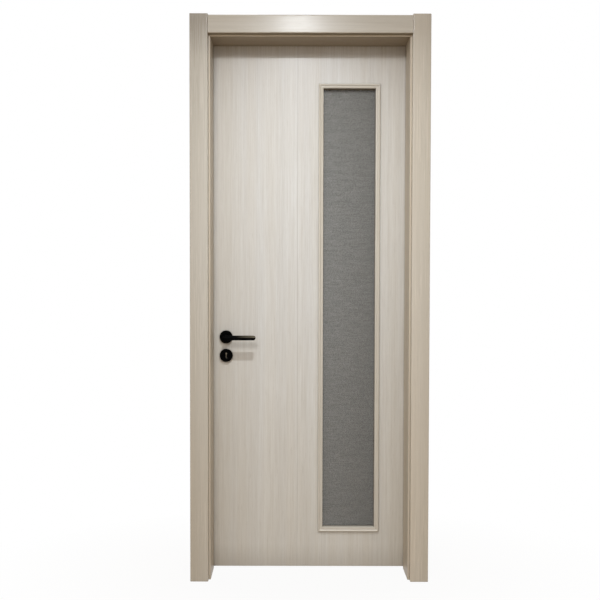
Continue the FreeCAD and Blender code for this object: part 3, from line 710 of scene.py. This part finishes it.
def lever(name, seat, outward):
    """Grip with a crease along its front and soft arrises, on a round neck with a grub screw."""
    low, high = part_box(name)
    half = (high.z - low.z) / 2
    length = high.x - spindle_centre.x
    reach = high.y - low.y
    back = reach - GRIP_DEPTH
    middle = (back + reach) / 2
    along = -1.0 if outward == BACK else 1.0
    section = rounded([
        (back, -half, 1.2 * MM),
        (reach - 2 * MM, -half, 1.2 * MM),
        (reach, 1.0 * MM, 1.0 * MM),
        (reach - 5 * MM, half, 1.6 * MM),
        (back, half, 1.2 * MM),
    ])
    shape = bmesh.new()
    stations = arc(GRIP_END_STEPS)
    places = [(-half * across, size) for across, size in stations]
    places += [(length - half + half * across, size) for across, size in reversed(stations)]
    previous = None
    for across, size in places:
        size = max(size, 0.02)
        soft = 1.0 - GRIP_END_THINNING * (1.0 - size) ** 3
        loop = [shape.verts.new((along * across, point.y * size, middle + (point.x - middle) * soft))
                for point in section]
        if previous:
            bridge(shape, previous, loop)
        else:
            shape.faces.new(loop)
        previous = loop
    shape.faces.new(previous)

    flare = back - NECK_FLARE_START
    neck = [(NECK_RADIUS, 0.0), (NECK_RADIUS, flare)]
    neck += [(NECK_RADIUS + NECK_FLARE_OUT * (1 - across), flare + NECK_FLARE_RISE * up)
             for across, up in arc(5)[1:]]
    made = rings(shape, neck, 64)
    shape.faces.new(made[0])
    shape.faces.new(made[-1])

    screw = rings(shape, [(1.9 * MM, 0.0), (1.9 * MM, 0.25 * MM), (1.1 * MM, 0.25 * MM),
                          (1.1 * MM, 0.05 * MM)], 20)
    shape.faces.new(screw[0])
    shape.faces.new(screw[-1])
    below = Matrix.Translation((0, -NECK_RADIUS + 0.1 * MM, GRUB_SCREW_HEIGHT))
    bmesh.ops.transform(shape, matrix=below @ Matrix.Rotation(math.pi / 2, 4, "X"),
                        verts=[vertex for ring in screw for vertex in ring])

    shape.transform(standing(Vector((spindle_centre.x, seat, spindle_centre.z)), outward))
    piece = finish_piece(name + "_shaped", shape, "handle", highlighted_black, 40)
    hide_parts(name)


# Glazing gaskets and screw heads
def gasket(name, sheet_face, side):
    """Narrow glazing strip all round the glass, against the beads' inner faces."""
    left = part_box("front_bead_lock_side")[1].x
    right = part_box("front_bead_hinge_side")[0].x
    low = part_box("front_bead_bottom")[1].z
    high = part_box("front_bead_top")[0].z
    section = [(0.0, 0.05 * MM), (1.6 * MM, 0.05 * MM), (1.5 * MM, 0.6 * MM), (0.8 * MM, 1.4 * MM),
               (0.0, 1.6 * MM)]
    shape = bmesh.new()
    loops = []
    for x, z, inward_x, inward_z in ((left, low, 1, 1), (right, low, -1, 1), (right, high, -1, -1),
                                     (left, high, 1, -1)):
        loops.append([shape.verts.new((x + inward_x * inset, sheet_face - side * rise, z + inward_z * inset))
                      for inset, rise in section])
    for index in range(4):
        bridge(shape, loops[index], loops[(index + 1) % 4])
    finish_piece(name, shape, "leaf", glazing_rubber)


SCREW_RADIUS = 3.4 * MM
SCREW_PROUD = 0.12 * MM
HINGE_SCREW_PROUD = 0.1 * MM
SCREW_END_MARGIN = 9 * MM
HINGE_SCREWS = ((9 * MM, 12 * MM), (20 * MM, 37 * MM), (20 * MM, 63 * MM), (9 * MM, 88 * MM))
HINGE_HALF_JOINT = 0.2 * MM


def screws(name, places, outward, body, proud=SCREW_PROUD):
    """Countersunk heads, each with a cross recess."""
    arm, width = SCREW_RADIUS * 0.55, SCREW_RADIUS * 0.16
    cross = []
    for quarter in range(4):
        turn = Matrix.Rotation(quarter * math.pi / 2, 2)
        cross += [turn @ Vector(spot) for spot in ((arm, width), (width, width), (width, arm))]
    shape = bmesh.new()
    for centre in places:
        part = bmesh.new()
        made = rings(part, [(SCREW_RADIUS, 0.0), (SCREW_RADIUS * 0.94, proud)], 32)
        inner = [part.verts.new((spot.x, spot.y, proud)) for spot in cross]
        recess = [part.verts.new((spot.x * 0.8, spot.y * 0.8, 0.02 * MM)) for spot in cross]
        bridge(part, inner, recess)
        part.faces.new(recess)
        fill_between(part, made[-1], inner)
        part.transform(standing(centre, outward))
        head = bpy.data.meshes.new("head")
        part.to_mesh(head)
        part.free()
        shape.from_mesh(head)
        bpy.data.meshes.remove(head)
    finish_piece(name, shape, body, steel)


for side, seat, outward in (("front", leaf_low.y, FRONT), ("back", leaf_high.y, BACK)):
    rose(side + "_rose", seat, outward)
    key_escutcheon(side + "_key_escutcheon", seat, outward)
    key_guide(side + "_key_guide", seat, outward)
    lever(side + "_lever", seat, outward)
gasket("front_glazing_gasket", glass_low.y, 1)
gasket("back_glazing_gasket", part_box("glass_back_sheet")[1].y, -1)

face_low, face_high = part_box("lock_faceplate")
strike_low, strike_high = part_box("strike_plate")
face_middle = (face_low.y + face_high.y) / 2
for name, x, low, high, away, body in (
        ("faceplate_screws", face_low.x, face_low.z, face_high.z, -1, "leaf"),
        ("strike_screws", strike_high.x, strike_low.z, strike_high.z, 1, "frame")):
    screws(name, [Vector((x, face_middle, z)) for z in (low + SCREW_END_MARGIN, high - SCREW_END_MARGIN)],
           Vector((away, 0, 0)), body)
for level in LEVELS:
    pin_low, pin_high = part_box("hinge_%s_pin" % level)
    joint = (pin_low.x + pin_high.x) / 2
    for part, body, away in (("frame_plate", "frame", -1), ("leaf_plate", "leaf", 1)):
        plate = "hinge_%s_%s" % (level, part)
        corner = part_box(plate)[0]
        spots = [Vector((joint - away * HINGE_HALF_JOINT, corner.y + depth, corner.z + rise))
                 for depth, rise in HINGE_SCREWS]
        screws(plate + "_screws", spots, Vector((away, 0, 0)), body, HINGE_SCREW_PROUD)


# Stage, light and camera
CASING_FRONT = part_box("front_casing_head")[0].y
DOOR_MIDDLE = -0.42
CAMERA_DISTANCE = 2.600
CAMERA_ACROSS = -0.485
CAMERA_HEIGHT = 1.169
CAMERA_PITCH = 1.34
CAMERA_ROLL = 0.098
FOCAL_PIXELS = 691.3
FRAME_PIXELS = 600
PRINCIPAL_ACROSS = 291.5
PRINCIPAL_DOWN = 290.1
SENSOR = 36.0
FLOOR_RADIUS = 14.0
FLOOR_TINT = colour(150, 128, 98)
FLOOR_NEAR = 0.95
SKY_TINT = (0.985, 0.99, 1.0, 1.0)
SKY_AHEAD = 0.49
SKY_SIDEWAYS = 0.93
CEILING_LAMP = Vector((-0.45, CASING_FRONT - 0.9, 2.455))
LAMP_SIZE = 0.07
LAMP_BEAM = 140


def floor():
    """Plain pale floor that is white in the picture but keeps the shadow near the door."""
    mesh = bpy.data.meshes.new("floor")
    shape = bmesh.new()
    bmesh.ops.create_circle(shape, cap_ends=True, segments=96, radius=FLOOR_RADIUS)
    shape.to_mesh(mesh)
    shape.free()
    plane = bpy.data.objects.new("floor", mesh)
    bpy.context.scene.collection.objects.link(plane)
    plane.location = (-0.416, 0.0, -0.5 * MM)
    ground = Surface("floor")
    ground.set(Roughness=0.9, Base_Color=FLOOR_TINT)
    away = ground.length(ground.scaled(ground.position(), (0.55, 1.0, 1.0)))
    seen = ground.math("MULTIPLY", ground.seen_rays(), ground.range(away, 0.2, 0.75, FLOOR_NEAR, 1.0))
    white = ground.add("ShaderNodeEmission")
    ground.show(ground.blend(seen, ground.shader.outputs[0], white.outputs[0]))
    mesh.materials.append(ground.material)
    plane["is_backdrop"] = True


def world():
    """Soft light that is stronger from both sides, before a white background."""
    sky = bpy.data.worlds.new("studio")
    bpy.context.scene.world = sky
    sky.use_nodes = True
    studio = Nodes(sky.node_tree)
    plain = studio.tree.nodes["Background"]
    plain.inputs["Color"].default_value = SKY_TINT
    way = studio.axes(studio.add("ShaderNodeTexCoord").outputs["Generated"])
    level = studio.range(studio.math("ABSOLUTE", way["X"]), 0.0, 1.0, SKY_AHEAD, SKY_SIDEWAYS)
    studio.link(level, plain.inputs["Strength"])
    white = studio.add("ShaderNodeBackground")
    white.inputs["Color"].default_value = (1, 1, 1, 1)
    white.inputs["Strength"].default_value = 1.0
    pick = studio.blend(studio.seen_rays(), plain.outputs[0], white.outputs[0])
    studio.link(pick, studio.tree.nodes["World Output"].inputs["Surface"])


def area_light(name, place, target, size, watts, tint=(1, 1, 1), beam=180, in_gloss=False, in_diffuse=True):
    """Round soft lamp; beam is the full angle in degrees within which it shines."""
    data = bpy.data.lights.new(name, "AREA")
    data.shape = "DISK"
    data.size = size
    data.energy = watts
    data.color = tint
    data.spread = math.radians(beam)
    lamp = bpy.data.objects.new(name, data)
    bpy.context.scene.collection.objects.link(lamp)
    lamp.location = place
    aim = Vector(target) - Vector(place)
    lamp.rotation_mode = "QUATERNION"
    lamp.rotation_quaternion = aim.to_track_quat("-Z", "Y")
    lamp.visible_glossy = in_gloss
    lamp.visible_diffuse = in_diffuse


def camera():
    """Camera at the photograph's place, angle and framing."""
    data = bpy.data.cameras.new("camera")
    data.sensor_width = SENSOR
    data.lens = FOCAL_PIXELS / FRAME_PIXELS * SENSOR
    data.shift_x = 0.5 - PRINCIPAL_ACROSS / FRAME_PIXELS
    data.shift_y = PRINCIPAL_DOWN / FRAME_PIXELS - 0.5
    data.clip_start = 0.05
    data.clip_end = 50
    view = bpy.data.objects.new("camera", data)
    bpy.context.scene.collection.objects.link(view)
    view.location = (CAMERA_ACROSS, CASING_FRONT - CAMERA_DISTANCE, CAMERA_HEIGHT)
    look = Matrix.Rotation(math.radians(90 - CAMERA_PITCH), 4, "X")
    roll = Matrix.Rotation(math.radians(CAMERA_ROLL), 4, "Z")
    view.rotation_euler = (look @ roll).to_euler()
    bpy.context.scene.camera = view


floor()
world()
area_light("ceiling", CEILING_LAMP, CEILING_LAMP - UP, LAMP_SIZE, 17, (0.86, 0.93, 1.0), LAMP_BEAM)
area_light("ceiling_shine", CEILING_LAMP, CEILING_LAMP - UP, LAMP_SIZE, 14.5, (0.9, 0.95, 1.0),
           in_gloss=True, in_diffuse=False)
area_light("high", (-1.2, -4.0, 3.7), (DOOR_MIDDLE, 0.0, 1.0), 1.0, 62)
area_light("rear", (0.7, 3.8, 2.9), (DOOR_MIDDLE, 0.0, 1.1), 1.6, 75)
camera()
bpy.context.scene.view_settings.view_transform = "Standard"

low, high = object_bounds()
